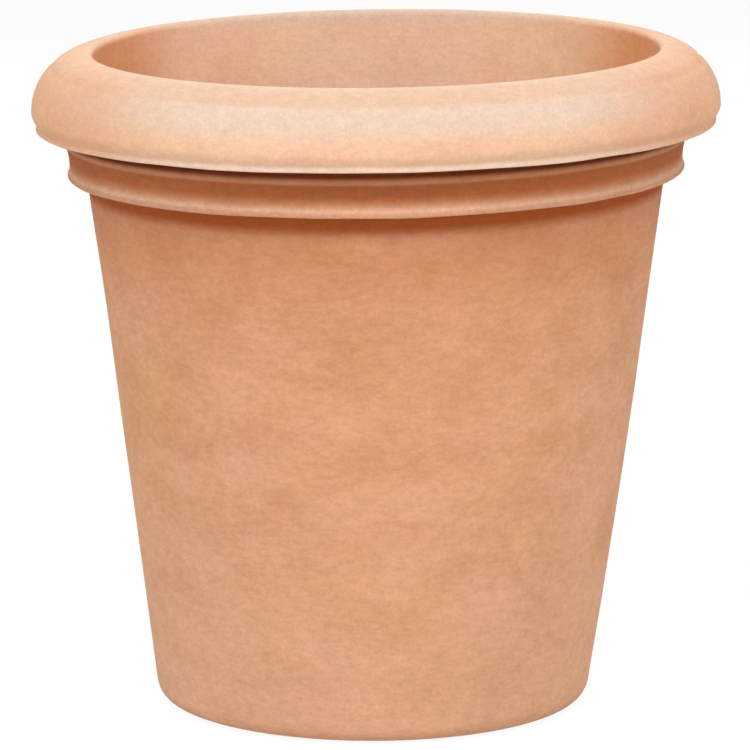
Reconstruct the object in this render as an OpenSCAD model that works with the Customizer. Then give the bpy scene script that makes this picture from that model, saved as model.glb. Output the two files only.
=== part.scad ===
// Floor planter in two shells: an outer pot, and a liner that hangs in it by its rolled rim.
// Millimetres, +Z up. The origin is on the floor, at the centre of the foot.

/* [Overall] */
// Diameter over the rolled rim
rim_d = 508; // [430:2:620]
// Height from the floor to the rim's crest
pot_h = 490; // [400:5:600]
// Diameter of the body at the foot, before its edge is rounded
base_d = 322; // [260:2:390]

/* [Outer pot] */
// Wall of the outer pot
pot_wall = 4.5; // [3:0.5:7]
// Thickness of the floor
floor_t = 5; // [4:0.5:8]
// Rounding of the outer edge at the foot
foot_round = 12; // [4:1:16]
// Height of the floor's underside above the bottom of the foot ring
floor_lift = 11; // [8:1:20]
// Width of the foot ring's flat face
foot_ring_w = 11; // [8:1:20]
// Fall of the floor from the wall to the drain
floor_fall = 2; // [0:0.5:4]
// How far the collar stands out past the body
collar_step = 13.6; // [8:0.1:20]
// Height of the collar, from its lower lip to the top of its ridge
collar_h = 27; // [20:1:40]
// How far the collar's lip stands out past the neck
bead_out = 4.5; // [3:0.5:8]
// Rounding of the collar's lower lip
collar_lip = 4; // [2:0.5:4]
// Depth of the waist between the collar's lip and ridge
waist_depth = 2; // [1:0.5:3]

/* [Rolled rim] */
// Depth from the crest to the roll's widest line
roll_h = 44.5; // [34:0.5:56]
// Depth from the widest line to the roll's lower lip
roll_tail = 12; // [8:0.5:20]
// How far the roll draws in at its lower lip
tail_in = 4; // [1:0.5:8]
// Width of the rounded shoulder between the mouth and the crest
shoulder_w = 6.5; // [6:0.5:20]
// Drop of that shoulder, from the crest to the mouth's edge
shoulder_h = 7; // [5:0.5:10]
// Depth from the roll's lower lip to the collar's lower lip
lip_to_collar = 35; // [30:0.5:50]
// Depth from the crest to the rim's lower end, where the liner's wall begins
rim_depth = 65; // [60:1:90]
// Height of the lap by which the rim is welded to the liner's wall
lap_h = 12; // [8:1:16]

/* [Liner] */
// Wall of the liner and of the rolled rim
liner_wall = 4; // [3:0.5:6]
// Room between the neck and the inside of the roll, for the fingers that lift the liner
finger_gap = 26.2; // [18:0.2:34]
// Gap between the neck and the liner's wall
neck_gap = 10.5; // [6:0.5:16]
// Depth from the crest to the neck's top edge, on which the liner hangs
seat_depth = 35; // [28:1:44]
// Number of ribs inside the roll
rib_n = 12; // [6:2:20]
// Thickness of one rib
rib_t = 3; // [2:0.5:5]
// Rounding between the liner's wall and floor
liner_round = 9; // [6:1:16]
// Diameter of the liner's drain holes
liner_hole_d = 10; // [6:1:14]
// Distance from one ring of those holes to the next
liner_hole_step = 40; // [36:1:42]
// Room for water between the outer pot's floor and the liner's
sump_h = 32; // [30:1:60]

/* [Drainage plate] */
// Thickness of the plate
plate_t = 3; // [2:0.5:5]
// Height of its legs
leg_h = 20; // [12:1:40]
// Outer diameter of a leg
leg_d = 14; // [10:1:14]
// Wall of a leg
leg_wall = 2; // [1.5:0.5:3]
// Number of legs
leg_n = 8; // [4:1:12]
// Number of rings of small holes inside the circle of legs
leg_ring = 4; // [3:1:5]
// Gap between the plate's edge and the liner's wall
plate_gap = 1.5; // [0.5:0.5:4]
// Diameter of the plate's small holes
plate_hole_d = 7; // [4:1:9]
// Distance from one ring of small holes to the next
plate_hole_step = 22; // [20:1:28]
// Diameter of the finger hole at the plate's centre
finger_hole_d = 26; // [22:1:30]

/* [Drain] */
// Diameter of the plug's shank
plug_d = 30; // [20:1:40]
// Radial clearance of the shank in the floor
plug_fit = 0.1; // [0.05:0.05:0.1]
// Width of the plug's head past its shank
plug_flange = 9; // [7:1:14]
// Thickness of the head
plug_head_t = 4; // [3:0.5:6]
// Height of the grip bar on the head
grip_h = 7; // [5:0.5:10]
// Thickness of the grip bar
grip_t = 7; // [5:0.5:10]
// Distance from the grip bar's ends to the head's edge
grip_inset = 3; // [2:0.5:6]
// Width of the flat round the head, on the outer pot's floor
drain_flat = 2; // [1:0.5:6]
// Thickness of the seal ring
seal_t = 2.5; // [1.5:0.5:4]
// Width of the seal ring
seal_w = 6; // [4:0.5:7]
// Wall of the boss round the drain hole
boss_wall = 7; // [4:1:10]
// Depth of that boss below the floor
boss_h = 5; // [3:1:7]

/* [Foot pads] */
// Diameter of a pad
pad_d = 24; // [16:1:30]
// How far a pad stands out below the foot ring
pad_out = 2; // [1.5:0.5:4]
// How far a pad's disc is sunk in its seat
pad_sunk = 2; // [1:0.5:3]
// Diameter of the stem that holds a pad
stem_d = 8; // [6:1:12]
// Length of the stem above the disc
stem_h = 5; // [3:0.5:6]
// Radial clearance round a pad and its stem
pad_fit = 0.1; // [0.05:0.05:0.3]
// Wall of the seat round a pad
pad_wall = 4; // [3:1:6]
// Gap between a pad's seat and the foot ring
pad_inset = 2; // [0:1:10]

/* [Hidden] */
$fn = 144;
arc_step = 10;
small_hole_fn = 36;
overlap = 1;
// Holes in the innermost ring of a pattern. Each next ring holds that many more
ring_holes = 6;
pad_n = 4;
first_pad = 45;

// Levels, from the floor up
foot_z = pad_out;
floor_under_z = foot_z + floor_lift;
drain_z = floor_under_z + floor_t;
liner_z = drain_z + sump_h;
liner_floor_z = liner_z + liner_wall;
plate_z = liner_floor_z + leg_h;
equator_z = pot_h - roll_h;
lip_z = equator_z - roll_tail;
collar_z = lip_z - lip_to_collar;
seat_z = pot_h - seat_depth;
mouth_z = pot_h - shoulder_h;
joint_z = pot_h - rim_depth;
lap_z = joint_z + lap_h;

// Radii, from the rim inwards
rim_r = rim_d / 2;
base_r = base_d / 2;
neck_out_r = rim_r - liner_wall - finger_gap;
neck_in_r = neck_out_r - pot_wall;
collar_r = neck_out_r + bead_out;
body_top_r = collar_r - collar_step;
slope = (body_top_r - base_r) / (collar_z - foot_z);
taper = atan(slope);
function body_r(z) = base_r + slope * (z - foot_z);
function pot_inside_r(z) = body_r(z) - pot_wall;
function liner_r(z) = neck_in_r - neck_gap - slope * (seat_z - z);
function liner_inside_r(z) = liner_r(z) - liner_wall;
function lap_r(z) = liner_r(z) - liner_wall / 2;
mouth_r = liner_inside_r(mouth_z);
crest_r = mouth_r + shoulder_w;

// Points of an arc of an ellipse, from angle a to angle b
function arc_n(a, b) = max(2, ceil(abs(b - a) / arc_step));
function arc(c, rx, ry, a, b) = [for (i = [0:arc_n(a, b)])
    let (t = a + (b - a) * i / arc_n(a, b)) [c[0] + rx * cos(t), c[1] + ry * sin(t)]];

// Centre of a rounding of radius r in the corner of a tapered wall that stands on the level z.
// The wall passes through the radius wall_r at that level, and the rounding lies inside it.
function corner(wall_r, z, r) = [wall_r + slope * r - r / cos(taper), z + r];

// Outer pot
ridge_bead = bead_out - waist_depth;
ridge_z = collar_z + collar_h - ridge_bead;
waist_z = (collar_z + collar_lip + ridge_z) / 2;
ledge_z = collar_z + pot_wall;
foot_c = corner(base_r, foot_z, foot_round);
ring_in_r = foot_c[0] - foot_ring_w;
wall_foot_z = drain_z + floor_fall;
drain_flat_r = plug_d / 2 + plug_flange + drain_flat;
pad_seat_r = pad_d / 2 + pad_fit + pad_wall;
pad_ring_r = ring_in_r - pad_inset - pad_seat_r;

function pot_outline() = concat(
    [[0, floor_under_z], [ring_in_r, floor_under_z], [ring_in_r, foot_z]],
    arc(foot_c, foot_round, foot_round, -90, -taper),
    [[body_r(collar_z), collar_z]],
    arc([collar_r - collar_lip, collar_z + collar_lip], collar_lip, collar_lip, -90, 30),
    [[collar_r - waist_depth, waist_z]],
    arc([neck_out_r + waist_depth, ridge_z], ridge_bead, ridge_bead, -30, 90),
    [[neck_out_r, ridge_z + ridge_bead + waist_depth], [neck_out_r, seat_z], [neck_in_r, seat_z]],
    [[neck_in_r, ledge_z], [pot_inside_r(ledge_z), ledge_z], [pot_inside_r(wall_foot_z), wall_foot_z]],
    [[drain_flat_r, drain_z], [0, drain_z]]
);

module at_pads() {
    for (i = [0:pad_n - 1]) rotate(first_pad + i * 360 / pad_n) translate([pad_ring_r, 0, 0]) children();
}

module outer_pot() {
    boss_z = floor_under_z - boss_h;
    color([0.84, 0.61, 0.46]) difference() {
        union() {
            rotate_extrude() polygon(pot_outline());
            translate([0, 0, boss_z]) cylinder(h = boss_h + overlap, r = plug_d / 2 + boss_wall);
            at_pads() translate([0, 0, foot_z]) cylinder(h = floor_lift + overlap, r = pad_seat_r);
        }
        translate([0, 0, boss_z - overlap])
            cylinder(h = boss_h + floor_t + 2 * overlap, r = plug_d / 2 + plug_fit);
        at_pads() {
            translate([0, 0, foot_z - overlap]) cylinder(h = pad_sunk + overlap, r = pad_d / 2 + pad_fit);
            translate([0, 0, foot_z]) cylinder(h = pad_sunk + stem_h + pad_fit, r = stem_d / 2 + pad_fit);
        }
    }
}

// Liner
liner_c = corner(liner_r(liner_z), liner_z, liner_round);
liner_rings = floor((liner_c[0] - liner_hole_d) / liner_hole_step);

function liner_outline() = concat(
    [[0, liner_z]],
    arc(liner_c, liner_round, liner_round, -90, -taper),
    [[liner_r(lap_z), lap_z], [lap_r(lap_z), lap_z], [lap_r(joint_z), joint_z]],
    [[liner_inside_r(joint_z), joint_z]],
    arc(liner_c, liner_round - liner_wall, liner_round - liner_wall, -taper, -90),
    [[0, liner_floor_z]]
);

module inner_pot() {
    color([0.94, 0.79, 0.67]) difference() {
        rotate_extrude() polygon(liner_outline());
        for (k = [1:liner_rings]) for (i = [0:ring_holes * k - 1])
            rotate(i * 360 / (ring_holes * k)) translate([k * liner_hole_step, 0, liner_z - overlap])
                cylinder(h = liner_wall + 2 * overlap, d = liner_hole_d);
    }
}

// Rolled rim
roll_w = rim_r - crest_r;
tail_r = roll_tail / sqrt(1 - pow(1 - tail_in / roll_w, 2));
tail_angle = asin(roll_tail / tail_r);

function roll_outside() = concat(
    arc([crest_r, equator_z], roll_w, tail_r, -tail_angle, 0),
    arc([crest_r, equator_z], roll_w, roll_h, arc_step, 90),
    arc([crest_r, mouth_z], shoulder_w, shoulder_h, 90 + arc_step, 180)
);
function roll_inside(cut) = concat(
    arc([crest_r, mouth_z], shoulder_w - cut, shoulder_h - cut, 180, 90),
    arc([crest_r, equator_z], roll_w - cut, roll_h - cut, 90 - arc_step, 0)
);
function rim_outline() = concat(
    [[liner_inside_r(joint_z), joint_z], [lap_r(joint_z), joint_z], [lap_r(lap_z), lap_z]],
    [[liner_r(lap_z), lap_z]],
    roll_inside(liner_wall),
    arc([rim_r - tail_in - liner_wall / 2, lip_z], liner_wall / 2, liner_wall / 2, -180, -30),
    roll_outside()
);

module rib() {
    cut = liner_wall / 2;
    rotate([90, 0, 0]) linear_extrude(rib_t, center = true) polygon(concat(
        [[liner_r(seat_z) - cut, seat_z]],
        roll_inside(cut),
        [[rim_r - cut, seat_z]]
    ));
}

module rolled_rim() {
    color([0.94, 0.79, 0.67]) union() {
        rotate_extrude() polygon(rim_outline());
        for (i = [0:rib_n - 1]) rotate((i + 0.5) * 360 / rib_n) rib();
    }
}

// Drainage plate
plate_r = liner_inside_r(plate_z) - plate_gap;
plate_rings = floor((plate_r - plate_hole_d) / plate_hole_step);
leg_ring_r = (leg_ring + 0.5) * plate_hole_step;

module drainage_plate() {
    color([0.27, 0.26, 0.25]) difference() {
        union() {
            translate([0, 0, plate_z]) cylinder(h = plate_t, r = plate_r);
            at_legs() cylinder(h = leg_h + overlap, d = leg_d);
        }
        at_legs() translate([0, 0, -overlap]) cylinder(h = leg_h + overlap, d = leg_d - 2 * leg_wall);
        translate([0, 0, plate_z - overlap]) cylinder(h = plate_t + 2 * overlap, d = finger_hole_d);
        for (k = [1:plate_rings]) for (i = [0:ring_holes * k - 1])
            rotate((i + (k % 2) / 2) * 360 / (ring_holes * k))
                translate([k * plate_hole_step, 0, plate_z - overlap])
                    cylinder(h = plate_t + 2 * overlap, d = plate_hole_d, $fn = small_hole_fn);
    }
}

module at_legs() {
    for (i = [0:leg_n - 1]) rotate(i * 360 / leg_n) translate([leg_ring_r, 0, liner_floor_z]) children();
}

// Drain plug and seal
head_z = drain_z + seal_t;
head_r = plug_d / 2 + plug_flange;

module drain_plug() {
    color([0.27, 0.26, 0.25]) union() {
        translate([0, 0, head_z]) cylinder(h = plug_head_t, r = head_r);
        translate([0, 0, floor_under_z - boss_h])
            cylinder(h = floor_t + boss_h + seal_t + overlap, d = plug_d);
        translate([grip_inset - head_r, -grip_t / 2, head_z + plug_head_t - overlap])
            cube([2 * (head_r - grip_inset), grip_t, grip_h + overlap]);
    }
}

module plug_seal() {
    color([0.1, 0.1, 0.1]) translate([0, 0, drain_z]) difference() {
        cylinder(h = seal_t, r = plug_d / 2 + plug_fit + seal_w);
        translate([0, 0, -overlap]) cylinder(h = seal_t + 2 * overlap, r = plug_d / 2 + plug_fit);
    }
}

// Foot pads
module foot_pad(n) {
    color([0.1, 0.1, 0.1]) rotate(first_pad + (n - 1) * 360 / pad_n) translate([pad_ring_r, 0, 0]) union() {
        cylinder(h = pad_out + pad_sunk, d = pad_d);
        translate([0, 0, pad_out]) cylinder(h = pad_sunk + stem_h, d = stem_d);
    }
}

outer_pot();
inner_pot();
rolled_rim();
drainage_plate();
drain_plug();
plug_seal();
foot_pad(1);  // foot_pad_1
foot_pad(2);  // foot_pad_2
foot_pad(3);  // foot_pad_3
foot_pad(4);  // foot_pad_4
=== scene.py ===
import math
import bmesh
import bpy
from mathutils import Matrix, Vector, noise


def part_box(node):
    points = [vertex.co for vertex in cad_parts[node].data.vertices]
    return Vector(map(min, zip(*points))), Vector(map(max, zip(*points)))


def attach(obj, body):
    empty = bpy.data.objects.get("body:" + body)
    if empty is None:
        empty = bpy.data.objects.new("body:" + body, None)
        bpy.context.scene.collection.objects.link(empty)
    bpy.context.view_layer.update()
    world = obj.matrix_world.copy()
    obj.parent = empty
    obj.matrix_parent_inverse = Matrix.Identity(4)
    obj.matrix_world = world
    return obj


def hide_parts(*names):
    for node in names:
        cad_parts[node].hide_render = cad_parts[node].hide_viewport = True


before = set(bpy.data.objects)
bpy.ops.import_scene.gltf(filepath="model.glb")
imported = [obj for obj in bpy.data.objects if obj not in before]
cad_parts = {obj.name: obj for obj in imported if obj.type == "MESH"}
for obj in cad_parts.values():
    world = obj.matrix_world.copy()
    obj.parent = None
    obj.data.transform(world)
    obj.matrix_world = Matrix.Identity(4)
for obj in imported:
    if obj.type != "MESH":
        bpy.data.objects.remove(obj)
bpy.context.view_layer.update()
mm = 0.001
tiny = 1e-6  # m, points closer than this are the same
spinSteps = 256
sharp = 1  # radians, an edge that turns more than this is a corner
print("frame loaded:", sorted(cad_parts))


# Outlines are (radius, height) or (radius, height, rounding) in millimetres
def arc(centre, across, up, start, end, steps=8):
    # points on part of an ellipse, from one angle to another in degrees, 0 outwards and 90 up
    angles = [math.radians(start + (end - start) * i / steps) for i in range(steps + 1)]
    return [(centre[0] + across * math.cos(a), centre[1] + up * math.sin(a)) for a in angles]


def roundOff(bm, geom, radius, segments, affect="EDGES"):
    bmesh.ops.bevel(bm, geom=geom, offset=radius * mm, offset_type="OFFSET", affect=affect, segments=segments,
                    profile=0.5, material=-1, clamp_overlap=True)


def turn(bm, geom, steps, angle=2 * math.pi, rise=0.0, merge=True):
    # turns the geometry round the upright axis. rise is what a thread climbs at each step
    bmesh.ops.spin(bm, geom=geom, cent=(0, 0, 0), axis=(0, 0, 1), dvec=(0, 0, rise), angle=angle, steps=steps,
                   use_merge=merge, use_normal_flip=False, use_duplicate=False)


def thicken(bm, faces, move):
    # gives flat faces a thickness, by the move in metres
    grown = bmesh.ops.extrude_face_region(bm, geom=faces, use_keep_orig=True)
    ends = [part for part in grown["geom"] if isinstance(part, bmesh.types.BMVert)]
    bmesh.ops.translate(bm, verts=ends, vec=move)
    bmesh.ops.recalc_face_normals(bm, faces=bm.faces[:])


def outlineEdges(outline, spacing, onAxis=False):
    # a wire in the XZ plane with its corners rounded and its long edges cut to the spacing
    wire = bmesh.new()
    corners = [wire.verts.new((p[0] * mm, 0, p[1] * mm)) for p in outline]
    wire.faces.new(corners)
    roundings = {}
    for corner, point in zip(corners, outline):
        if len(point) > 2:
            roundings.setdefault(point[2], []).append(corner)
    for rounding, chosen in roundings.items():
        roundOff(wire, chosen, rounding, 3, affect="VERTICES")
    bmesh.ops.delete(wire, geom=wire.faces[:], context="FACES_ONLY")
    if onAxis:
        axisEdges = [e for e in wire.edges if all(abs(v.co.x) < tiny for v in e.verts)]
        bmesh.ops.delete(wire, geom=axisEdges, context="EDGES")
    cuts = {}
    for edge in wire.edges:
        cuts.setdefault(int(edge.calc_length() / (spacing * mm)), []).append(edge)
    for count, edges in cuts.items():
        if count:
            bmesh.ops.subdivide_edges(wire, edges=edges, cuts=count)
    return wire


def addTurned(bm, outline, spacing=8, steps=spinSteps, centre=(0, 0), onAxis=False):
    # adds the solid that the outline makes when it is turned round an upright axis
    wire = outlineEdges(outline, spacing, onAxis)
    turn(wire, wire.verts[:] + wire.edges[:], steps)
    bmesh.ops.remove_doubles(wire, verts=wire.verts[:], dist=tiny)
    bmesh.ops.translate(wire, verts=wire.verts[:], vec=(centre[0] * mm, centre[1] * mm, 0))
    bmesh.ops.recalc_face_normals(wire, faces=wire.faces[:])
    addMesh(bm, wire)


def addMesh(bm, other):
    mesh = bpy.data.meshes.new("part")
    other.to_mesh(mesh)
    other.free()
    bm.from_mesh(mesh)
    bpy.data.meshes.remove(mesh)


def perforatedDisc(radius, holes, top, thickness, edgeSteps, holeSteps):
    # a flat disc with round holes, given as (x, y, diameter), with its own thickness
    disc = bmesh.new()
    bmesh.ops.create_circle(disc, cap_ends=False, radius=radius * mm, segments=edgeSteps)
    for x, y, diameter in holes:
        bmesh.ops.create_circle(disc, cap_ends=False, radius=diameter / 2 * mm, segments=holeSteps,
                                matrix=Matrix.Translation((x * mm, y * mm, 0)))
    bmesh.ops.triangle_fill(disc, use_beauty=True, use_dissolve=False, edges=disc.edges[:])
    bmesh.ops.translate(disc, verts=disc.verts[:], vec=(0, 0, top * mm))
    thicken(disc, disc.faces[:], (0, 0, -thickness * mm))
    return disc


def smoothStep(low, high, value):
    t = min(max((value - low) / (high - low), 0), 1)
    return t * t * (3 - 2 * t)


def newObject(name, bm, material):
    mesh = bpy.data.meshes.new(name)
    bm.to_mesh(mesh)
    bm.free()
    mesh.materials.append(material)
    made = bpy.data.objects.new(name, mesh)
    bpy.context.scene.collection.objects.link(made)
    return made


def makePiece(node, bm, body, material):
    # a piece at the origin that rides on its body and stands for its CAD node
    piece = newObject(node + "_form", bm, material)
    for polygon in piece.data.polygons:
        polygon.use_smooth = True
    piece.data.set_sharp_from_angle(angle=math.radians(40))
    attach(piece, body)
    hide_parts(node)
    print("made", piece.name, len(piece.data.polygons), "faces")


# How far the two shells are out of true, as pots of this kind come out of their moulds
outOfTrue = {
    "lean": 0.0057,  # sideways to the right for each unit of height
    "bow": 1.5,  # mm, further to the right at half the body's height
    "bowHeight": 440,  # mm
    "collarTilt": 0.9,  # degrees, the collar rises to the right
    "mouthTilt": 0.75,  # degrees, and so does the mouth
    "mouthPitch": 0.36,  # degrees, the mouth rises to the back
    "lipTilt": -0.001,  # further tilt of the roll's lower lip
    "lipSag": 0.3,  # mm, that lip hangs lower at the sides and higher in front and behind
    "wobble": 0.5,  # mm, unevenness of the walls
    "wobbleSpan": 90,  # mm, from one swell to the next
    "wobbleCore": 60,  # mm, radius inside which it dies away
    "wobbleFrom": (15, 80),  # mm, heights between which each of these sets in
    "collarFrom": (50, 400),
    "mouthFrom": (430, 450),
    "pitchFrom": (430, 470),
    "lipWave": 0.6,  # mm, up and down of the lips' edges
    "lipWaveSpan": 45,  # mm
}


def settle(bm, bloomAndPaintedLight, paintedShade, lips=(), lowerLip=None):
    # bends a turned shell slightly out of true, and notes where its skin is paler, which is partly bloom and partly
    # painted highlight and painted light, and where it carries painted shade. lips holds the height, reach and
    # amount of each wavy edge, and lowerLip two heights and the inner radius of the lip that tilts further
    paleLayer = bm.verts.layers.float.new("bloomAndPaintedLight")
    paintedShadeLayer = bm.verts.layers.float.new("paintedShade")
    s = outOfTrue
    collarSlope, mouthSlope, pitch = (
        math.tan(math.radians(s[key])) for key in ("collarTilt", "mouthTilt", "mouthPitch"))
    for v in bm.verts:
        x, y, z = v.co / mm
        radius = math.hypot(x, y)
        side = abs(x) / max(radius, 1)  # 0 in front and behind, 1 at the far left and right
        v[paleLayer] = bloomAndPaintedLight(radius, z, side)
        v[paintedShadeLayer] = paintedShade(radius, z, side)
        wave = noise.noise(Vector((x, y, z)) / s["wobbleSpan"]) * s["wobble"] * smoothStep(*s["wobbleFrom"], z)
        dz = x * collarSlope * smoothStep(*s["collarFrom"], z)
        dz += x * (mouthSlope - collarSlope) * smoothStep(*s["mouthFrom"], z)
        dz += y * pitch * smoothStep(*s["pitchFrom"], z)
        dx = z * s["lean"] + s["bow"] * math.sin(math.pi * min(z / s["bowHeight"], 1))
        for height, reach, amount in lips:
            near = 1 - smoothStep(0, reach, abs(z - height))
            if near:
                dz += amount * near * noise.noise(Vector((x, y, height)) / s["lipWaveSpan"])
        if lowerLip and radius > lowerLip[2]:
            sag = s["lipSag"] * (y * y - x * x) / (radius * radius)
            dz += (x * s["lipTilt"] + sag) * (1 - smoothStep(*lowerLip[:2], z))
        scale = 1 + wave / max(radius, s["wobbleCore"])
        v.co = Vector((x * scale + dx, y * scale, z + dz)) * mm


def linear(colour):
    # an sRGB hex colour as the linear values that shaders take
    parts = [int(colour[i:i + 2], 16) / 255 for i in (1, 3, 5)]
    return [p / 12.92 if p <= 0.04045 else ((p + 0.055) / 1.055) ** 2.4 for p in parts] + [1]


def addNode(tree, kind, inputs=None, **settings):
    # adds a node with its settings, and its inputs given as links or values
    node = tree.nodes.new(kind)
    for name, value in settings.items():
        setattr(node, name, value)
    for socket, value in (inputs or {}).items():
        if isinstance(value, bpy.types.NodeSocket):
            tree.links.new(value, node.inputs[socket])
        else:
            node.inputs[socket].default_value = value
    return node


def newMaterial(name):
    material = bpy.data.materials.new(name)
    material.use_nodes = True
    material.node_tree.nodes.clear()
    return material, material.node_tree


noiseRange = {"From Min": 0.3, "From Max": 0.7}  # nearly all that a noise texture gives lies between these

# Moulded polyethylene with terracotta pigment, its skin sanded: dead matt and dusty, with cloudy patches
# where the pigment settled unevenly, a paler bloom that is partly painted highlight on lit edges and faces, and
# painted shade in hollows
potSkin = {
    "pink": "#E2AA87",
    "tan": "#DFA87D",
    "orange": "#CD9066",
    # the paler colour: bloom, and painted highlight and painted light where the lamps fall
    "chalkAndPaintedLight": "#EBC8AE",
    "paintedShade": "#BA5F26",  # painted shade: the darker, more saturated colour put where shade falls, in hollows and under the collar
    "orangeShare": 0.65,  # of the orange in its patches
    "cloud": 110,  # mm, size of the large patches
    "patch": 55,  # mm, size of the small ones
    "flatten": 1.7,  # patches are this much wider than high
    "streak": 9,  # mm, length of the marks that the sanding leaves along the wall
    "streakFlatten": 2.2,
    "contrast": 0.1,  # of those marks
    "grain": 2.2,  # mm, sanding grain, as coarse as it needs to show
    "grainDepth": 0.07,  # mm
    "grainShade": (0.94, 1.05),  # darkest and lightest of the grain
    "bloomShade": (0.88, 1.05),  # the same for how much of the paler colour, bloom and painted light, the grain holds
    "ripple": 14,  # mm, slight hollows left in the skin
    "rippleDepth": 0.15,  # mm
    "roughness": 0.85,
    "specular": 0.3,  # dust on the sanded skin dulls what it mirrors
    "dust": 0.6,  # roughness of its plain colour
}
# the liner's skin is the same in a paler pigment, with a lighter, more orange colour for its painted shade
rimSkin = dict(potSkin, pink="#EFC2A2", tan="#EDC49C", orange="#E4AE88", chalkAndPaintedLight="#E0CBB8", paintedShade="#D67620",
               contrast=0.065)


def sandedPlastic(name, skin):
    material, tree = newMaterial(name)
    place = addNode(tree, "ShaderNodeTexCoord").outputs["Object"]
    flat = addNode(tree, "ShaderNodeMapping", {"Vector": place, "Scale": (1, 1, skin["flatten"])}).outputs[0]
    shifted = addNode(tree, "ShaderNodeMapping", {"Vector": flat, "Location": (3, 5, 7)}).outputs[0]
    large = addNode(tree, "ShaderNodeTexNoise", {
        "Vector": flat, "Scale": 1 / (skin["cloud"] * mm), "Detail": 3, "Roughness": 0.55}).outputs[0]
    clouds = addNode(tree, "ShaderNodeMapRange", {"Value": large, "From Min": 0.35, "From Max": 0.65}).outputs[0]
    small = addNode(tree, "ShaderNodeTexNoise", {
        "Vector": shifted, "Scale": 1 / (skin["patch"] * mm), "Detail": 2, "Roughness": 0.55}).outputs[0]
    patches = addNode(tree, "ShaderNodeMapRange", {"Value": small, "From Min": 0.4, "From Max": 0.8}).outputs[0]
    grain = addNode(tree, "ShaderNodeTexNoise", {
        "Vector": place, "Scale": 1 / (skin["grain"] * mm), "Detail": 2, "Roughness": 0.6}).outputs[0]
    ripple = addNode(tree, "ShaderNodeTexNoise", {
        "Vector": place, "Scale": 1 / (skin["ripple"] * mm), "Detail": 2}).outputs[0]
    base = addNode(tree, "ShaderNodeMix", {
        0: clouds, 6: linear(skin["pink"]), 7: linear(skin["tan"])}, data_type="RGBA").outputs[2]
    partly = addNode(tree, "ShaderNodeMath", {0: patches, 1: skin["orangeShare"]}, operation="MULTIPLY").outputs[0]
    patched = addNode(tree, "ShaderNodeMix", {
        0: partly, 6: base, 7: linear(skin["orange"])}, data_type="RGBA").outputs[2]
    # how much of the paler colour: bloom, painted highlight and painted light
    bloomAndPaintedLight = addNode(tree, "ShaderNodeAttribute", attribute_name="bloomAndPaintedLight").outputs["Fac"]
    worn = addNode(tree, "ShaderNodeMapRange", dict(
        noiseRange, Value=grain, **{"To Min": skin["bloomShade"][0], "To Max": skin["bloomShade"][1]})).outputs[0]
    paleMask = addNode(tree, "ShaderNodeMath", {0: bloomAndPaintedLight, 1: worn}, operation="MULTIPLY", use_clamp=True).outputs[0]
    paled = addNode(tree, "ShaderNodeMix", {
        0: paleMask, 6: patched, 7: linear(skin["chalkAndPaintedLight"])}, data_type="RGBA").outputs[2]
    # painted shade: this mask mixes the darker colour in where shade falls
    shadeMask = addNode(tree, "ShaderNodeAttribute", attribute_name="paintedShade").outputs["Fac"]
    shadePainted = addNode(tree, "ShaderNodeMix", {
        0: shadeMask, 6: paled, 7: linear(skin["paintedShade"])}, data_type="RGBA").outputs[2]
    speck = addNode(tree, "ShaderNodeMapRange", dict(
        noiseRange, Value=grain, **{"To Min": skin["grainShade"][0], "To Max": skin["grainShade"][1]})).outputs[0]
    thin = addNode(tree, "ShaderNodeMapping", {
        "Vector": place, "Scale": (1, 1, skin["streakFlatten"])}).outputs[0]
    streaks = addNode(tree, "ShaderNodeTexNoise", {
        "Vector": thin, "Scale": 1 / (skin["streak"] * mm), "Detail": 4, "Roughness": 0.6}).outputs[0]
    marks = addNode(tree, "ShaderNodeMapRange", dict(
        noiseRange, Value=streaks,
        **{"To Min": 1 - skin["contrast"], "To Max": 1 + 0.7 * skin["contrast"]})).outputs[0]
    shades = addNode(tree, "ShaderNodeMath", {0: speck, 1: marks}, operation="MULTIPLY").outputs[0]
    colour = addNode(tree, "ShaderNodeMix", {
        0: 1.0, 6: shadePainted, 7: shades}, data_type="RGBA", blend_type="MULTIPLY").outputs[2]
    hollows = addNode(tree, "ShaderNodeBump", {
        "Height": ripple, "Strength": 1.0, "Distance": skin["rippleDepth"] * mm}).outputs[0]
    sanding = addNode(tree, "ShaderNodeBump", {
        "Height": grain, "Strength": 1.0, "Distance": skin["grainDepth"] * mm, "Normal": hollows}).outputs[0]
    surface = addNode(tree, "ShaderNodeBsdfPrincipled", {
        "Base Color": colour, "Roughness": skin["roughness"], "IOR": 1.5, "Specular IOR Level": skin["specular"],
        "Diffuse Roughness": skin["dust"], "Normal": sanding})
    addNode(tree, "ShaderNodeOutputMaterial", {"Surface": surface.outputs[0]})
    return material


# Polypropylene moulded in a spark-eroded mould: dark, with an even fine texture and a soft sheen
darkPlastic = {
    "colour": "#34302C",
    "light": "#403B36",  # where it has faded
    "fade": 35,  # mm, size of those patches
    "texture": 1.5,  # mm
    "depth": 0.04,  # mm
    "roughness": 0.5,
    "uneven": 0.06,  # of the roughness
    "ior": 1.49,
}
# Nitrile rubber moulded to a dull surface: near black, softer and duller than the plastic
dullRubber = dict(darkPlastic, colour="#1E1D1C", light="#2A2827", texture=2.5, depth=0.03, roughness=0.75, ior=1.52)


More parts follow.
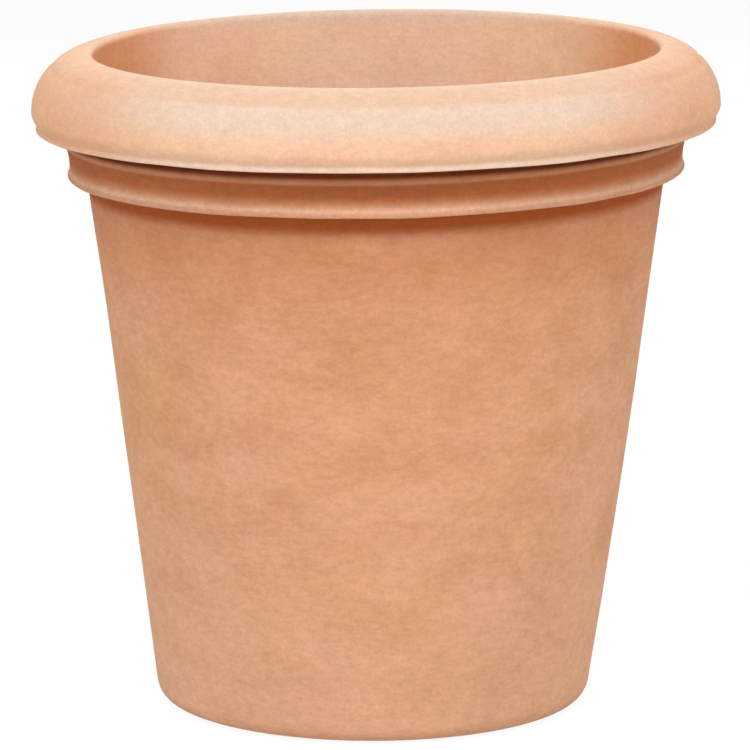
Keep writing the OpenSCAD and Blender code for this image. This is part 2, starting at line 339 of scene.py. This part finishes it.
def mouldedBlack(name, skin):
    material, tree = newMaterial(name)
    place = addNode(tree, "ShaderNodeTexCoord").outputs["Object"]
    fine = addNode(tree, "ShaderNodeTexNoise", {
        "Vector": place, "Scale": 1 / (skin["texture"] * mm), "Detail": 3}).outputs[0]
    flow = addNode(tree, "ShaderNodeTexNoise", {
        "Vector": place, "Scale": 1 / (skin["fade"] * mm), "Detail": 3}).outputs[0]
    faded = addNode(tree, "ShaderNodeMapRange", {"Value": flow, "From Min": 0.35, "From Max": 0.7}).outputs[0]
    colour = addNode(tree, "ShaderNodeMix", {
        0: faded, 6: linear(skin["colour"]), 7: linear(skin["light"])}, data_type="RGBA").outputs[2]
    dullest, glossiest = skin["roughness"] + skin["uneven"], skin["roughness"] - skin["uneven"]
    rough = addNode(tree, "ShaderNodeMapRange", {
        "Value": flow, "To Min": glossiest, "To Max": dullest}).outputs[0]
    bumps = addNode(tree, "ShaderNodeBump", {
        "Height": fine, "Strength": 1.0, "Distance": skin["depth"] * mm}).outputs[0]
    surface = addNode(tree, "ShaderNodeBsdfPrincipled", {
        "Base Color": colour, "Roughness": rough, "IOR": skin["ior"], "Normal": bumps})
    addNode(tree, "ShaderNodeOutputMaterial", {"Surface": surface.outputs[0]})
    return material


potMaterial = sandedPlastic("sanded_moulded_polyethylene_terracotta", potSkin)
rimMaterial = sandedPlastic("sanded_moulded_polyethylene_pale", rimSkin)
plateMaterial = mouldedBlack("moulded_polypropylene_dark", darkPlastic)
rubberMaterial = mouldedBlack("moulded_nitrile_rubber", dullRubber)
print("materials made")

potLow, potHigh = (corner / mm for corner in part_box("outer_pot"))
outerPot = {
    "wall": 4.5,
    "footRadius": 160.3,  # where the tapered wall would meet the level of the foot ring
    "bodyTop": 213.9,  # radius of the body under the collar
    "bodyTopAt": 398.5,  # and its height there
    "collarLow": 397.2,  # height of the collar's lower lip, from which the next three are measured
    "lipFace": 2.4,  # top of that lip's upright face
    "lipTop": 5.6,  # where the lip ends
    "waistAt": 13,  # where the waist is deepest
    "ledge": 403,  # where the wall steps in from the neck inside
    "waist": 2.2,  # depth of the waist between the collar's lip and ridge
    "ridgeBead": 1.8,  # rounding of the ridge above it
    "ridgeHeight": 424.5,
    "ridgeOut": 6.8,  # how far the ridge stands out past the neck
    "neck": 223.8,  # outer radius of the upright neck inside the roll
    "footAcross": 9.5,  # rounding at the foot, across and up
    "footUp": 15,
    "footOut": 0.3,  # how far that rounding stands out past the tapered wall
    "belly": 0.8,  # how far the wall swells
    "bellyHeight": 150,  # where it swells most
    "bellySpan": 90,
    "bellyRadius": (130, 150),  # the swell sets in between these radii
    "bellyTop": (330, 390),  # and has gone between these heights
    "floorTop": 18,
    "floorUnder": 13,
    "footRing": 139.5,  # inner radius of the foot ring
    "drainFlat": 26,
    "bore": 15.1,  # radius of the bore that the drain plug screws into
    "boss": 22,  # radius of the boss round it
    "bossLow": 8,
    # painted shade: how much darker the skin is made where shade falls, and at which heights. cornerOut holds radii
    "deepInside": 0.15,
    "deepRecess": 0.45,
    "recessUp": (418, 421),
    "deepNeck": 0.55,
    "neckUp": (425.5, 427.5),
    "deepWaist": 0.85,
    "waistUp": (402, 412),
    "waistEnd": (420, 423.5),
    "cornerUp": (376, 387),
    "cornerEnd": (397, 398),
    "cornerOut": (207, 209),
    "deepWall": 0.12,
    "wallUp": (200, 390),
    "deepWallTop": 0.26,
    "wallTopUp": (290, 380),
    "wallEnd": (400, 402),
    # how much paler the collar's lower lip is made, as painted highlight, and the wall near the foot, as painted
    # light from the floor
    "highlightLip": 0.55,
    "highlightLipAt": 400,
    "highlightLipReach": (1.5, 7),
    "highlightLipOut": (222, 226),
    "footPaintedLight": 0.2,
    "footPaintedLightEnd": (0, 230),
}


def outerPotOutline():
    p = outerPot
    low, seat, collar = potLow.z, potHigh.z, potHigh.x
    slope = (p["bodyTop"] - p["footRadius"]) / (p["bodyTopAt"] - low)
    bend = math.degrees(math.atan(slope))
    foot = p["footRadius"] + slope * p["footUp"] - p["footAcross"] / math.cos(math.radians(bend)) + p["footOut"]
    inside = p["neck"] - p["wall"]
    ledge, lip = p["ledge"], p["collarLow"]
    bead = (p["neck"] + p["ridgeOut"] - p["ridgeBead"], p["ridgeHeight"])
    innerAt = lambda z: p["footRadius"] + slope * (z - low) - p["wall"]
    return (
        [(p["bore"], p["bossLow"], 1), (p["boss"], p["bossLow"], 1), (p["boss"], p["floorUnder"], 2)]
        + [(p["footRing"], p["floorUnder"], 2), (p["footRing"], low, 1.5)]
        + arc((foot, low + p["footUp"]), p["footAcross"], p["footUp"], -90, -bend, 12)
        + [(p["bodyTop"] - 0.2, lip, 1), (collar - 1.3, lip, 1.2), (collar - 0.3, lip + p["lipFace"], 1)]
        + [(collar - 2, lip + p["lipTop"], 2), (collar - p["waist"], lip + p["waistAt"], 5)]
        + [(p["neck"] + p["ridgeOut"] - 2, p["ridgeHeight"] - 3.2, 1.5)]
        + arc(bead, p["ridgeBead"], p["ridgeBead"], -40, 80, 5)
        + [(p["neck"], p["ridgeHeight"] + 2.8, 1), (p["neck"], seat, 1.2), (inside, seat, 1.2)]
        + [(inside, ledge, 3), (innerAt(ledge), ledge, 3), (innerAt(p["floorTop"] + 2), p["floorTop"] + 2, 6)]
        + [(p["drainFlat"], p["floorTop"], 1), (p["bore"], p["floorTop"], 0.8)]
    )


padSeat = {
    "count": 4,
    "ring": 121.4,  # radius on which the pads stand
    "radius": 16.1,
    "recess": 12.1,  # radius of the recess for the pad's disc
    "recessTop": 4,
    "hole": 4.1,  # radius of the hole for its stem
    "holeTop": 9.1,
}


def padCentres():
    for i in range(padSeat["count"]):
        angle = math.radians(45 + i * 360 / padSeat["count"])
        yield padSeat["ring"] * math.cos(angle), padSeat["ring"] * math.sin(angle)


def outerPotPaintedShade(radius, height, side):
    # painted shade in the recess under the roll, the waist, the corner under the collar, and the wall below it
    p = outerPot
    if radius < p["neck"] - 1 and height > p["collarLow"]:
        return p["deepInside"]
    recess = p["deepRecess"] * smoothStep(*p["recessUp"], height) + p["deepNeck"] * smoothStep(*p["neckUp"], height)
    waist = p["deepWaist"] * smoothStep(*p["waistUp"], height) * (1 - smoothStep(*p["waistEnd"], height))
    corner = smoothStep(*p["cornerUp"], height) * (1 - smoothStep(*p["cornerEnd"], height))
    wall = p["deepWall"] * smoothStep(*p["wallUp"], height) + p["deepWallTop"] * smoothStep(*p["wallTopUp"], height)
    return max(recess, waist, corner * smoothStep(*p["cornerOut"], radius),
               wall * (1 - smoothStep(*p["wallEnd"], height)))


def outerPotPaintedLight(radius, height, side):
    # painted highlight on the collar's lower lip, and painted light, lighter towards the bottom, on the wall near
    # the foot
    p = outerPot
    lip = p["highlightLip"] * (1 - smoothStep(*p["highlightLipReach"], abs(height - p["highlightLipAt"])))
    foot = p["footPaintedLight"] * (1 - smoothStep(*p["footPaintedLightEnd"], height))
    return lip * smoothStep(*p["highlightLipOut"], radius) + foot


def makeOuterPot():
    p = outerPot
    bm = bmesh.new()
    addTurned(bm, outerPotOutline())
    for v in bm.verts:
        height, radius = v.co.z / mm, math.hypot(v.co.x, v.co.y) / mm
        swell = p["belly"] * math.exp(-((height - p["bellyHeight"]) / p["bellySpan"]) ** 2)
        if radius > p["bellyRadius"][0]:
            swell *= smoothStep(*p["bellyRadius"], radius) * (1 - smoothStep(*p["bellyTop"], height))
            v.co.xy *= 1 + swell / radius
    wave = outOfTrue["lipWave"]
    settle(bm, outerPotPaintedLight, outerPotPaintedShade, lips=[(p["collarLow"], 12, wave), (p["ridgeHeight"], 6, 0.5 * wave)])
    low, seat = potLow.z, padSeat
    sunk = p["floorUnder"] + 1.5  # each pad's seat is set this high into the floor
    for centre in padCentres():
        addTurned(bm, [
            (0, sunk), (seat["radius"], sunk), (seat["radius"], low, 1), (seat["recess"], low, 0.6),
            (seat["recess"], seat["recessTop"], 0.3), (seat["hole"], seat["recessTop"], 0.4),
            (seat["hole"], seat["holeTop"], 0.3), (0, seat["holeTop"])], steps=48, centre=centre, onAxis=True)
    makePiece("outer_pot", bm, "planter", potMaterial)


makeOuterPot()

rimLow, rimHigh = (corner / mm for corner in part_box("rolled_rim"))
rolledRim = {
    "wall": 4,
    "crestRadius": 212.9,
    "crestDrop": 1.2,  # how far the crest of the photographed roll lies below the CAD one
    "equator": 445.5,  # height of the widest line
    "tailIn": 4.2,  # how far the roll draws in above its lower lip
    "tailHeights": (438.5, 440.5, 442.5, 444),  # points on the way
    "lipLow": 433,
    "shoulderAcross": 4.5,  # rounding between the crest and the inner wall, across and down
    "shoulderDown": 5,
    "creaseAngle": 49,  # place of the faint crease on the roll, in degrees above the widest line
    "creaseDepth": 0.7,
    "creaseWidth": 4,  # degrees
    "lipProud": 1.1,  # how far the lip flares out
    "lipFlare": 3.6,  # height of that flare
    "tiltEnd": (-1, 13),  # heights above the lip's edge between which its further tilt ends
    "tiltOut": 226,  # radius outside which it tilts
    "lap": 12,  # height of the weld with the liner
    "ribs": 12,
    "ribWall": 3,
    "ribFoot": 455,
    "ribTop": 9,  # how far below the crest they end at the inner wall
    "ribSink": 2,  # how far the ribs go into the walls round them
    # how much paler the skin is made, partly bloom and partly painted highlight and painted light, and where:
    # heights, but for the radii in the names with Out or In
    "bloomAll": 0.1,
    # partly bloom, partly painted highlight on the roll's front and back
    "frontBloomAndHighlight": 0.75,
    "frontUp": (446, 470),
    "frontOut": (213, 216),
    "aboveCrease": 0.2,  # painted shade: how much of the front's paler colour is taken off above the crease
    # painted highlight on the lip's flare
    "highlightLip": 0.85,
    "lipEnd": (434, 439),
    "bloomInside": 0.05,
    # painted light on the middle of the inner wall, and painted highlight on its shoulder
    "middlePaintedLight": 0.2,
    "shoulderHighlight": 0.5,
    "shoulderUp": (480, 486),
    "insideIn": (212, 214),
    # painted shade: how much darker it is made where shade falls
    "deepUnder": 0.7,
    "underOut": (212, 216),
    "underEnd": (455, 462),
    "deepCrest": 0.15,
    "crestEnd": (486.5, 489),
    "crestOut": (212, 215),
    "shadeEnd": (484, 488),
    "shadeIn": (210.5, 212.5),
    "deepEnds": 0.26,
    "endsOut": (226, 236),
    "crestFade": 0.6,  # how much of the deeper crest is gone at its top
    # where both change from the front to the far sides, which are at 1, and how much of the paler colour and
    # painted highlight is gone
    "middleSide": (0.2, 0.6),
    "shoulderSide": (0.5, 0.85),
    "shoulderFade": 0.9,
    "frontSide": (0.65, 0.98),
    "frontFade": 0.7,
}
rimTop = rimHigh.z - rolledRim["crestDrop"]
rollCentre = (rolledRim["crestRadius"], rolledRim["equator"])
rollAcross, rollUp = rimHigh.x - rollCentre[0], rimTop - rollCentre[1]
liner = {
    "wall": 4,
    "seat": 455,  # height at which the ribs rest on the outer pot's neck
    "seatRadius": 208.8,  # outer radius there
    "taper": 0.1354,
    "under": 50,  # height of the underside of its floor
    "corner": 9,  # rounding between its wall and floor
    "holeSize": 10,
    "holeStep": 40,  # from one ring of holes to the next
    "holesInRing": 6,  # in the first ring, and as many more in each further one
    "bloomAndPaintedLight": 0.3,
    "deepSides": 0.6,  # painted shade on the far sides of the inner wall
    "sides": (0.68, 0.97),
}


def linerRadius(height):
    return liner["seatRadius"] - liner["taper"] * (liner["seat"] - height)


def innerShade(side):
    # painted shade: how much darker the inner wall's skin is made, from the front to the far sides
    return liner["deepSides"] * smoothStep(*liner["sides"], side)


def rimOutline():
    p = rolledRim
    wall, low, lapTop = p["wall"], rimLow.z, rimLow.z + p["lap"]
    centre, across, up = rollCentre, rollAcross, rollUp

    def roll(angle, inset):
        # a point of the roll at an angle above its widest line, moved in by the wall
        a = math.radians(angle)
        crease = p["creaseDepth"] * math.exp(-((angle - p["creaseAngle"]) / p["creaseWidth"]) ** 2)
        out = Vector((math.cos(a) / across, math.sin(a) / up)).normalized() * -(inset or crease)
        return centre[0] + across * math.cos(a) + out.x, centre[1] + up * math.sin(a) + out.y

    flareTop = p["lipLow"] + p["lipFlare"]

    def tail(height):
        return rimHigh.x - p["tailIn"] * ((p["equator"] - height) / (p["equator"] - flareTop)) ** 1.5

    nose = tail(flareTop) + p["lipProud"]
    lip = [(nose - wall, p["equator"] - 4, 2), (nose - wall, p["lipLow"], 1), (nose - 0.5, p["lipLow"], 0.4)]
    lip += [(nose, p["lipLow"] + 0.8, 0.4), (tail(flareTop), flareTop, 1.5)]
    outside = lip + [(tail(z), z) for z in p["tailHeights"]] + [roll(a, 0) for a in range(0, 90, 2)]
    inside = [roll(a, wall) for a in range(86, 0, -6)]
    mouth = (p["crestRadius"], rimTop - p["shoulderDown"])
    shoulder = arc(mouth, p["shoulderAcross"], p["shoulderDown"], 90, 180, 8)
    under = arc(mouth, p["shoulderAcross"] - wall, p["shoulderDown"] - wall, 180, 95, 4)
    halfWall = lambda z: linerRadius(z) - wall / 2
    return (
        [(linerRadius(low) - wall, low, 0.5), (halfWall(low), low, 0.3), (halfWall(lapTop), lapTop, 0.3)]
        + [(linerRadius(lapTop), lapTop, 0.5)]
        + under + inside + outside + shoulder
    )


def addRibs(bm):
    p = rolledRim
    sink, foot, inner = p["ribSink"], p["ribFoot"], rimTop - p["ribTop"]
    outline = [(linerRadius(foot) - sink, foot), (linerRadius(inner) - sink, inner)]
    outline += arc(rollCentre, rollAcross - sink, rollUp - sink, 90, 0, 12)[1:-1]
    outline += [(rimHigh.x - sink - 0.3, foot)]
    for i in range(p["ribs"]):
        rib = bmesh.new()
        corners = [rib.verts.new((r * mm, -p["ribWall"] / 2 * mm, z * mm)) for r, z in outline if z >= foot]
        thicken(rib, [rib.faces.new(corners)], (0, p["ribWall"] * mm, 0))
        place = Matrix.Rotation(math.radians((i + 0.5) * 360 / p["ribs"]), 3, "Z")
        bmesh.ops.rotate(rib, verts=rib.verts[:], cent=(0, 0, 0), matrix=place)
        addMesh(bm, rib)


def makeRolledRim():
    p = rolledRim
    bm = bmesh.new()
    addTurned(bm, rimOutline())
    addRibs(bm)
    lipInside = rimHigh.x - p["tailIn"] + p["lipProud"] - p["wall"]
    creaseHeight = p["equator"] + rollUp * math.sin(math.radians(p["creaseAngle"]))
    outwards = lambda radius: smoothStep(lipInside + 0.3, lipInside + 1.3, radius)
    above = lambda height: smoothStep(creaseHeight - 2, creaseHeight + 2.5, height)

    def bloomAndPaintedLight(radius, height, side):
        # bloom all over; painted highlight on the roll's front and back and on its lip; painted light on the inner
        # wall's middle and shoulder
        front = p["frontBloomAndHighlight"] * smoothStep(*p["frontUp"], height) * smoothStep(*p["frontOut"], radius)
        front *= 1 - p["aboveCrease"] * above(height)
        lip = p["highlightLip"] * (1 - smoothStep(*p["lipEnd"], height)) * outwards(radius)
        middle = 1 - smoothStep(*p["middleSide"], side)
        shoulder = smoothStep(*p["shoulderUp"], height)
        shoulder *= 1 - p["shoulderFade"] * smoothStep(*p["shoulderSide"], side)
        inside = p["bloomInside"] + p["middlePaintedLight"] * middle + p["shoulderHighlight"] * shoulder
        inside *= 1 - smoothStep(*p["insideIn"], radius)
        outside = (front + lip) * (1 - p["frontFade"] * smoothStep(*p["frontSide"], side))
        return min(p["bloomAll"] + outside + inside, 1)

    def paintedShade(radius, height, side):
        # painted shade under the roll, on the crest, on the inner wall's far sides and at the roll's far ends
        under = p["deepUnder"] * smoothStep(*p["underOut"], radius) * (1 - smoothStep(*p["underEnd"], height))
        crest = p["deepCrest"] * above(height) * (1 - p["crestFade"] * smoothStep(*p["crestEnd"], height))
        inside = innerShade(side) * (1 - smoothStep(*p["shadeEnd"], height))
        ends = p["deepEnds"] * smoothStep(*p["shoulderSide"], side) * smoothStep(*p["endsOut"], radius)
        return max(under * (1 - outwards(radius)), crest * smoothStep(*p["crestOut"], radius),
                   inside * (1 - smoothStep(*p["shadeIn"], radius)), ends)

    lips = [(p["lipLow"] + 0.5, 10, outOfTrue["lipWave"])]
    tilted = [p["lipLow"] + height for height in p["tiltEnd"]] + [p["tiltOut"]]
    settle(bm, bloomAndPaintedLight, paintedShade, lips, lowerLip=tilted)
    makePiece("rolled_rim", bm, "liner", rimMaterial)


makeRolledRim()


def ringsOfHoles(rings, step, inRing, size, shift=0.0):
    # (x, y, diameter) of holes on rings a step apart. shift turns the odd rings by that share of the way from one
    # hole to the next
    for k in range(1, rings + 1):
        for i in range(inRing * k):
            angle = math.radians((i + (k % 2) * shift) * 360 / (inRing * k))
            yield k * step * math.cos(angle), k * step * math.sin(angle), size


def makeLiner():
    p = liner
    low, wall = p["under"], p["wall"]
    top, lapTop = rimLow.z, rimLow.z + rolledRim["lap"]
    halfWall = lambda z: linerRadius(z) - wall / 2
    bend = math.degrees(math.atan(p["taper"]))
    centre = (linerRadius(low + p["corner"]) - p["corner"] / math.cos(math.radians(bend)), low + p["corner"])
    outline = (
        [(centre[0], low)]
        + arc(centre, p["corner"], p["corner"], -90, -bend, 6)[1:]
        + [(linerRadius(lapTop), lapTop, 0.5), (halfWall(lapTop), lapTop, 0.5), (halfWall(top), top, 0.3)]
        + [(linerRadius(top) - wall, top, 0.5)]
        + arc(centre, p["corner"] - wall, p["corner"] - wall, -bend, -90, 6)
    )
    walls = outlineEdges(outline, 8)
    ends = [e for e in walls.edges if all(abs(v.co.x - centre[0] * mm) < tiny for v in e.verts)]
    bmesh.ops.delete(walls, geom=ends, context="EDGES")  # the floor closes the wall there
    turn(walls, walls.verts[:] + walls.edges[:], spinSteps)
    rings = int((centre[0] - p["holeSize"]) / p["holeStep"])
    holes = list(ringsOfHoles(rings, p["holeStep"], p["holesInRing"], p["holeSize"]))
    floor = perforatedDisc(centre[0], holes, low + wall, wall, spinSteps, 24)
    rim = [f for f in floor.faces if all(abs(v.co.xy.length - centre[0] * mm) < tiny for v in f.verts)
           and abs(f.normal.z) < 0.5]
    bmesh.ops.delete(floor, geom=rim, context="FACES_ONLY")
    edges = [e for e in floor.edges if len(e.link_faces) == 2 and e.calc_face_angle(0) > sharp]
    roundOff(floor, edges, 0.6, 2)
    bm = bmesh.new()
    addMesh(bm, walls)
    addMesh(bm, floor)
    bmesh.ops.remove_doubles(bm, verts=bm.verts[:], dist=0.02 * mm)
    bmesh.ops.recalc_face_normals(bm, faces=bm.faces[:])

    def paintedShade(radius, height, side):
        # painted shade on the far sides of the inner wall
        return innerShade(side) if radius < linerRadius(height) - wall / 2 else 0

    settle(bm, lambda radius, height, side: p["bloomAndPaintedLight"], paintedShade)
    makePiece("inner_pot", bm, "liner", rimMaterial)


makeLiner()

plate = {
    "thickness": 3,
    "fingerHole": 26,
    "holeSize": 7,
    "holeStep": 22,
    "holesInRing": 6,
    "legs": 8,
    "legRing": 99,  # radius on which they stand
    "legSize": 14,
    "legWall": 2,
}


def makePlate():
    p = plate
    low, high = (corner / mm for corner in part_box("drainage_plate"))
    radius = high.x
    rings = int((radius - p["holeSize"]) / p["holeStep"])
    holes = [(0, 0, p["fingerHole"])]
    holes += ringsOfHoles(rings, p["holeStep"], p["holesInRing"], p["holeSize"], shift=0.5)
    bm = perforatedDisc(radius, holes, high.z, p["thickness"], 192, 20)
    roundOff(bm, [e for e in bm.edges if e.calc_face_angle(0) > sharp], 0.5, 1)
    outer, inner = p["legSize"] / 2, p["legSize"] / 2 - p["legWall"]
    under = high.z - p["thickness"]
    for i in range(p["legs"]):
        angle = math.radians(i * 360 / p["legs"])
        centre = p["legRing"] * math.cos(angle), p["legRing"] * math.sin(angle)
        addTurned(bm, [
            (outer + 1.5, under + 0.5), (outer, under - 1.5, 1), (outer, low.z, 0.6), (inner, low.z, 0.6),
            (inner, under + 0.5)], steps=40, centre=centre)
    makePiece("drainage_plate", bm, "plate", plateMaterial)


makePlate()

plug = {
    "shank": 15,  # radius over the thread
    "threadDepth": 1.1,
    "threadLow": 2.2,  # height of its start above the plug's end
    "pitch": 4,
    "turns": 2.2,
    "head": 24,  # its radius
    "headLow": 20.5,
    "headThick": 4,
    "gripThick": 7,
    "gripInset": 3,  # how far the grip's ends lie inside the head's edge
}


def makePlug():
    p = plug
    low, high = (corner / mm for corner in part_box("drain_plug"))
    core, headTop = p["shank"] - p["threadDepth"], p["headLow"] + p["headThick"]
    bm = bmesh.new()
    addTurned(bm, [
        (0, low.z), (core, low.z, 1), (core, p["headLow"] - 1.2), (p["shank"], p["headLow"] - 0.6),
        (p["shank"], p["headLow"]), (p["head"], p["headLow"], 0.6), (p["head"], headTop, 1.4),
        (p["head"] - 3.5, headTop), (p["head"] - 4, headTop - 0.6, 0.3), (p["head"] - 5, headTop - 0.6, 0.3),
        (p["head"] - 5.5, headTop), (0, headTop)], steps=96, onAxis=True, spacing=6)
    thread = bmesh.new()
    steps, crest, root = 48, p["shank"] - 0.05, core - 0.3  # steps to a turn, and the thread's two radii
    section = [(root, -1.5), (crest, -0.5), (crest, 0.5), (root, 1.5)]
    start = thread.faces.new([thread.verts.new((r * mm, 0, (low.z + p["threadLow"] + z) * mm)) for r, z in section])
    turn(thread, [start] + start.edges[:] + start.verts[:], int(steps * p["turns"]),
         angle=2 * math.pi * p["turns"], rise=p["pitch"] / steps * mm, merge=False)
    bmesh.ops.recalc_face_normals(thread, faces=thread.faces[:])
    addMesh(bm, thread)
    grip = bmesh.new()
    length, height = 2 * (p["head"] - p["gripInset"]), high.z - headTop + 1
    bmesh.ops.create_cube(grip, size=1, matrix=Matrix.Translation((0, 0, (high.z - height / 2) * mm))
                          @ Matrix.Diagonal((length * mm, p["gripThick"] * mm, height * mm, 1)))
    roundOff(grip, [e for e in grip.edges if abs(e.verts[0].co.z - e.verts[1].co.z) > 1 * mm], 3.2, 6)
    roundOff(grip, [e for e in grip.edges if all(v.co.z > (high.z - 0.1) * mm for v in e.verts)], 1.4, 4)
    addMesh(bm, grip)
    makePiece("drain_plug", bm, "plug", plateMaterial)


def makeSeal():
    low, high = (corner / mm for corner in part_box("plug_seal"))
    inner = outerPot["bore"]
    bm = bmesh.new()
    addTurned(bm, [
        (inner, low.z, 0.7), (high.x, low.z, 0.7), (high.x, high.z, 0.7), (inner, high.z, 0.7)], steps=96)
    makePiece("plug_seal", bm, "seal", rubberMaterial)


makePlug()
makeSeal()

footPad = {
    "radius": 12,
    "disc": 4,  # height of its disc
    "stem": 4,  # radius of the stem that is pressed into the foot
    "rounding": 1,
    "groove": 7,  # outer radius of the groove in its underside
    "grooveWide": 1.2,
    "grooveDeep": 0.7,
}


def makePads():
    p = footPad
    for i, centre in enumerate(padCentres()):
        node = f"foot_pad_{i + 1}"
        low, high = (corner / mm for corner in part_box(node))
        bm = bmesh.new()
        shoulder, groove, wide = low.z + p["disc"], p["groove"], p["grooveWide"]
        addTurned(bm, [
            (0, low.z), (groove - wide, low.z, 0.2), (groove - wide / 2, low.z + p["grooveDeep"], 0.3),
            (groove, low.z, 0.2), (p["radius"], low.z, p["rounding"]), (p["radius"], shoulder, 0.4),
            (p["stem"], shoulder, 0.4), (p["stem"], high.z, 0.8), (0, high.z)],
            steps=64, centre=centre, onAxis=True)
        makePiece(node, bm, "planter", rubberMaterial)


makePads()
print("pieces made")

# From the fit of the photograph's outline and ellipses
view = {
    "aim": (0.0018, 0, 0.2424),  # m
    "distance": 3.852,  # m
    "elevation": 11.03,  # degrees
    "lens": 248.0,  # mm, on a sensor 36 mm wide
}


def makeCamera():
    tilt = math.radians(view["elevation"])
    data = bpy.data.cameras.new("camera")
    data.lens, data.sensor_width, data.sensor_fit = view["lens"], 36, "HORIZONTAL"
    data.clip_start, data.clip_end = 0.1, 100
    camera = bpy.data.objects.new("camera", data)
    camera.location = Vector(view["aim"]) + view["distance"] * Vector((0, -math.cos(tilt), math.sin(tilt)))
    camera.rotation_euler = (math.pi / 2 - tilt, 0, 0)
    bpy.context.scene.collection.objects.link(camera)
    bpy.context.scene.camera = camera


# A white sweep, lit by a wide soft box in front and above, and by weaker ones low in front and behind
studio = {
    "floorSize": 60,  # m
    "floorGrey": "#E4E4E4",  # what the pot sees of the floor
    "floorWhite": 0.92,  # how much of the white that the camera sees is steady
    "floorShade": "#606060",  # the part of it that keeps the pot's shadow
    "fill": 0.38,  # light from all round
    "lampAim": (0, 0, 0.3),  # m, where the soft boxes point
}
# Each soft box: degrees round from the front, degrees up, metres away, width and height in metres, and watts
softBoxes = {
    "key": (0, 45, 2.8, (5.0, 0.8), 75),
    "back": (180, 26, 3.5, (2.4, 1.2), 26),
    "front": (0, 14, 3.5, (3, 1), 13),
}


def cameraSees(tree):
    path = addNode(tree, "ShaderNodeLightPath")
    glossy = addNode(tree, "ShaderNodeMath", {
        0: path.outputs["Is Camera Ray"], 1: path.outputs["Is Glossy Ray"]}, operation="MAXIMUM").outputs[0]
    return addNode(tree, "ShaderNodeMath", {
        0: glossy, 1: path.outputs["Is Transmission Ray"]}, operation="MAXIMUM").outputs[0]


def makeFloor():
    material, tree = newMaterial("white_paper_sweep")
    plain = addNode(tree, "ShaderNodeBsdfDiffuse", {"Color": linear(studio["floorGrey"])}).outputs[0]
    shade = addNode(tree, "ShaderNodeBsdfDiffuse", {"Color": linear(studio["floorShade"])}).outputs[0]
    white = addNode(tree, "ShaderNodeEmission", {"Strength": studio["floorWhite"]}).outputs[0]
    seen = addNode(tree, "ShaderNodeAddShader", {0: white, 1: shade}).outputs[0]
    surface = addNode(tree, "ShaderNodeMixShader", {0: cameraSees(tree), 1: plain, 2: seen}).outputs[0]
    addNode(tree, "ShaderNodeOutputMaterial", {"Surface": surface})
    bm = bmesh.new()
    bmesh.ops.create_circle(bm, cap_ends=True, radius=studio["floorSize"] / 2, segments=96)
    floor = newObject("floor", bm, material)


def makeSoftBox(name, azimuth, elevation, distance, size, power):
    data = bpy.data.lights.new(name, "AREA")
    data.shape, data.size, data.size_y, data.energy = "RECTANGLE", size[0], size[1], power
    a, e = math.radians(azimuth), math.radians(elevation)
    back = Vector((math.sin(a) * math.cos(e), -math.cos(a) * math.cos(e), math.sin(e)))
    box = bpy.data.objects.new(name, data)
    box.location = Vector(studio["lampAim"]) + back * distance
    box.rotation_euler = back.to_track_quat("Z", "Y").to_euler()
    box.visible_camera = False
    bpy.context.scene.collection.objects.link(box)


def makeWorld():
    world = bpy.data.worlds.new("studio")
    bpy.context.scene.world = world
    world.use_nodes = True
    tree = world.node_tree
    tree.nodes.clear()
    fill = addNode(tree, "ShaderNodeBackground", {"Strength": studio["fill"]}).outputs[0]
    white = addNode(tree, "ShaderNodeBackground", {"Strength": 1.0}).outputs[0]
    for node in tree.nodes:
        node.inputs["Color"].default_value = (1, 1, 1, 1)
    mixed = addNode(tree, "ShaderNodeMixShader", {0: cameraSees(tree), 1: fill, 2: white}).outputs[0]
    addNode(tree, "ShaderNodeOutputWorld", {"Surface": mixed})


makeCamera()
makeFloor()
makeWorld()
for name, setting in softBoxes.items():
    makeSoftBox(name, *setting)
bpy.context.scene.view_settings.view_transform = "Standard"
print("camera, floor and lights made")
